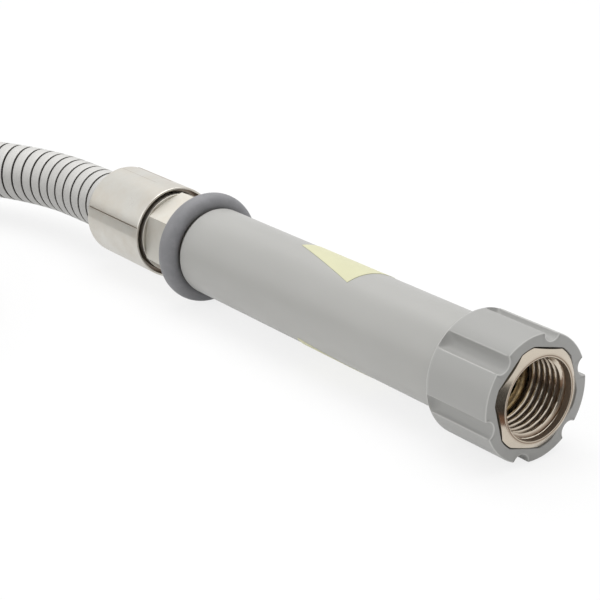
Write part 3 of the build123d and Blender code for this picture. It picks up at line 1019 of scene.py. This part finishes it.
def nut_mesh(name, shift):
    """The round hose nut: skirt, thread, cavity and back wall; shift moves it to the far end."""
    s = sizes()
    low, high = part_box("hose_nut")
    front = station_of(high.x)
    length = (high.x - low.x) / MM
    radius = width_of("hose_nut") / 2 / MM
    crest = s.nut_thread_crest / MM
    depth = s.nut_thread_depth / MM
    pitch = s.nut_thread_pitch / MM
    skirt, skirt_depth = 13.1, 2.4
    thread_length, cavity, hole, back_wall = 8.2, 11.9, 9.55, 2.9
    lip, edge = 0.22, 0.8
    turns = {1.25 * k for k in range(288)}
    for opposite in (0, 180):
        crease = CREASE_TURN - CREASE_HALF_TURN + opposite
        turns |= {crease + CREASE_WIDTH * share for share in (-1, -0.5, 0, 0.5, 1)}
        for side in (-MARK_HALF_TURN, MARK_HALF_TURN):
            turns |= {MARK_TURN + opposite + side + extra for extra in (-0.5, 0.0, 0.5)}
    stations = steps(lip, MARK_SETBACK - 0.1, 12)
    stations += [MARK_SETBACK + extra for extra in (0.0, 0.06, 0.2, 0.3)]
    stations += steps(MARK_SETBACK + 0.6, length - edge, 26)

    def column_at(turn):
        column = [(0.0, skirt + 0.08)]
        for k in range(4, -1, -1):
            angle = math.radians(22.5 * k)
            column.append((lip * (1 - math.sin(angle)), radius - lip * (1 - math.cos(angle))))
        column += [(setback, *nut_side(setback, turn, radius)) for setback in stations]
        for k in range(1, 7):
            angle = math.radians(15 * k)
            side, share = nut_side(length, turn, radius)
            setback = length - edge * (1 - math.sin(angle))
            column.append((setback, side - edge * (1 - math.cos(angle)), share))
        # painted shade through the back hole, cavity, thread roots and skirt inside the nut
        column += [(length, hole + 0.15), (length - 0.15, hole), (length - back_wall, hole, 0.7)]
        column += [(length - back_wall, cavity, 0.8), (skirt_depth + thread_length + 0.1, cavity, 0.8)]
        for setback in steps(skirt_depth + thread_length, skirt_depth, 56):
            lead = crest + 0.9 - (setback - skirt_depth)
            height = thread_height(setback / pitch + turn / 360)
            column.append((setback, max(lead, crest + depth * height), 0.3 + 0.6 * height))
        column += [(skirt_depth, skirt, 0.8), (0.5, skirt, 0.7), (0.08, skirt, 0.2)]
        return [(front + point[0], *point[1:]) for point in column]

    return turned_mesh(name, sorted(turns), column_at, 30, shift)


class HOSE_OT_nuts(bpy.types.Operator):
    """Builds the two hose nuts and the hexagonal adaptor that the near one screws onto"""

    bl_idname = "hose.nuts"
    bl_label = "Hose nuts and adaptor"

    def execute(self, context):
        c = colours()
        nickel = satin_metal("nut_satin_nickel", c.nickel, c.stain, 0.27, 0.12, (12, 1, 1), 240.0)
        add_piece(
            "near_nut", nut_mesh("near_nut", Vector((0, 0, 0))), nickel, "handle", "nut_nickel", "hose_nut"
        )
        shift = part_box("far_hose_nut")[0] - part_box("hose_nut")[0]
        add_piece("far_nut", nut_mesh("far_nut", shift), nickel, "far_nut", "nut_nickel", "far_hose_nut")
        self.adaptor(c)
        return {"FINISHED"}

    def adaptor(self, c):
        s = sizes()
        low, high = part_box("hose_adaptor")
        front = station_of(high.x)
        back = station_of(low.x)
        across = s.hex_across / MM
        corner_turn = 24.0
        spigot, rim, back_rim, collar, stem = 10.85, 11.6, 10.9, 11.9, 11.1
        hex_front, hex_back = 138.2, 151.6
        neck_front, neck_back = hex_back - 0.3, hex_back - 0.2
        neck = back_rim - 0.1
        collar_back, edge = hex_back + 1.3, 0.12
        socket, bore = 7.55, 6.0
        seal, seal_half, seal_radius = 143.0, 0.95, 9.4
        pipe_back = front + 16.0
        slope = math.tan(math.radians(30))

        def column_at(turn):
            flat = hexagon(across, turn, corner_turn)
            chamfer = max(0.0, flat - rim) * slope
            start = min(flat, rim)
            return [
                (front, spigot),
                (hex_front, spigot),
                (hex_front, start),
                (hex_front + chamfer, flat),
                (neck_front - (flat - back_rim) * slope, flat),
                (neck_front, back_rim),
                (neck_back, neck),
                (hex_back, neck),
                (hex_back + 0.02, collar - edge),
                (hex_back + 0.14, collar),
                (collar_back - edge, collar),
                (collar_back, collar - edge),
                (collar_back, stem),
                (back - 0.4, stem),
                (back, stem - 0.4),
                (back, bore),
                (pipe_back, bore),
                (pipe_back, socket),
                (seal + seal_half, socket),
                (seal + seal_half, seal_radius),
                (seal - seal_half, seal_radius),
                (seal - seal_half, socket),
                (front, socket),
            ]

        add_piece(
            "hex_adaptor",
            turned_mesh("hex_adaptor", [corner_turn + 1.5 * k for k in range(240)], column_at, 18),
            satin_metal("adaptor_nickel", c.nickel, c.stain, 0.5, 0.1, (1, 1, 1), 260.0),
            "handle",
            "fitting_nickel",
            "hose_adaptor",
        )


# ---------------------------------------------------------------- ring, grip and inner pieces
class HOSE_OT_ring(bpy.types.Operator):
    """Builds the soft bumper ring, which leans a little on its seat"""

    bl_idname = "hose.ring"
    bl_label = "Bumper ring"

    def execute(self, context):
        low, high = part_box("bumper_ring")
        section = (high.x - low.x) / 2 / MM
        station = station_of((low.x + high.x) / 2)
        outer = (high.z - low.z) / 2 / MM
        centre = outer - section
        bore = 10.9
        squash = 0.35  # how far the ring is pressed towards the sleeve
        lean_turn = 200
        reach = math.degrees(math.acos((bore - centre) / section))
        tilt = math.tan(sizes().ring_tilt)
        columns = []
        for k in range(144):
            turn = 2.5 * k
            lean = tilt * math.cos(math.radians(turn - lean_turn))
            column = []
            for angle in steps(-reach, reach, 33):
                radius = centre + section * math.cos(math.radians(angle))
                offset = (section + squash) * math.sin(math.radians(angle)) - squash
                column.append(place(station + offset + lean * radius, radius, turn))
            columns.append(column)
        mesh = grid_mesh("soft_ring", columns)
        clean_up(mesh, 40)
        add_piece(
            "soft_ring",
            mesh,
            soft_rubber("ring_soft_rubber", colours().ring),
            "handle",
            "ring_rubber",
            "bumper_ring",
        )
        return {"FINISHED"}


class HOSE_OT_grip(bpy.types.Operator):
    """Finishes the grip, its label and the pieces that carry them"""

    bl_idname = "hose.grip"
    bl_label = "Grip and inner pieces"

    def execute(self, context):
        c = colours()
        brass = satin_metal("machined_brass", c.brass, tinted(c.brass, 0.9), 0.2, 0.1, (12, 1, 1), 500.0)
        steel = satin_metal("pressed_steel", c.steel, tinted(c.steel, 0.93), 0.35, 0.08, (12, 1, 1), 500.0)
        nylon = moulded_plastic("plain_nylon", c.nylon)
        black = soft_rubber("seal_rubber_black", c.seal)
        finishes = {
            "grip_sleeve": moulded_plastic("grip_plastic_moulded", c.grip, 0.40),
            "grip_label": label_film("label_film_pale", c.label),
            "handle_pipe": brass,
            "hose_tail": brass,
            "far_hose_tail": brass,
            "hose_ferrule": steel,
            "far_hose_ferrule": steel,
            "slip_washer": nylon,
            "front_bush": nylon,
            "rear_bush": nylon,
            "pipe_seal": black,
            "hose_washer": black,
            "far_hose_washer": black,
        }
        for name, material in finishes.items():
            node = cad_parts[name]
            node.data.materials.clear()
            node.data.materials.append(material)
        return {"FINISHED"}


# ---------------------------------------------------------------- panel and registration
BUILD_STEPS = (
    HOSE_OT_stage,
    HOSE_OT_cover,
    HOSE_OT_insert,
    HOSE_OT_nuts,
    HOSE_OT_ring,
    HOSE_OT_grip,
    HOSE_OT_hose,
)


class HOSE_PT_panel(bpy.types.Panel):
    """Lists the build steps and the settings"""

    bl_idname = "HOSE_PT_panel"
    bl_label = "Metal Hose With Grip"
    bl_space_type = "VIEW_3D"
    bl_region_type = "UI"
    bl_category = "Hose"

    def draw(self, context):
        for step in BUILD_STEPS:
            self.layout.operator(step.bl_idname)
        for group in (context.scene.hose_handle_sizes, context.scene.hose_handle_colours):
            column = self.layout.column(align=True)
            for name in group.__annotations__:
                column.prop(group, name)


CLASSES = (HoseHandleSizes, HoseHandleColours, *BUILD_STEPS, HOSE_PT_panel)


def register():
    for cls in CLASSES:
        bpy.utils.register_class(cls)
    bpy.types.Scene.hose_handle_sizes = PointerProperty(type=HoseHandleSizes)
    bpy.types.Scene.hose_handle_colours = PointerProperty(type=HoseHandleColours)


def unregister():
    del bpy.types.Scene.hose_handle_colours
    del bpy.types.Scene.hose_handle_sizes
    for cls in reversed(CLASSES):
        bpy.utils.unregister_class(cls)


def main():
    register()
    for step in BUILD_STEPS:
        group, name = step.bl_idname.split(".")
        getattr(getattr(bpy.ops, group), name)()


if __name__ == "__main__":
    main()
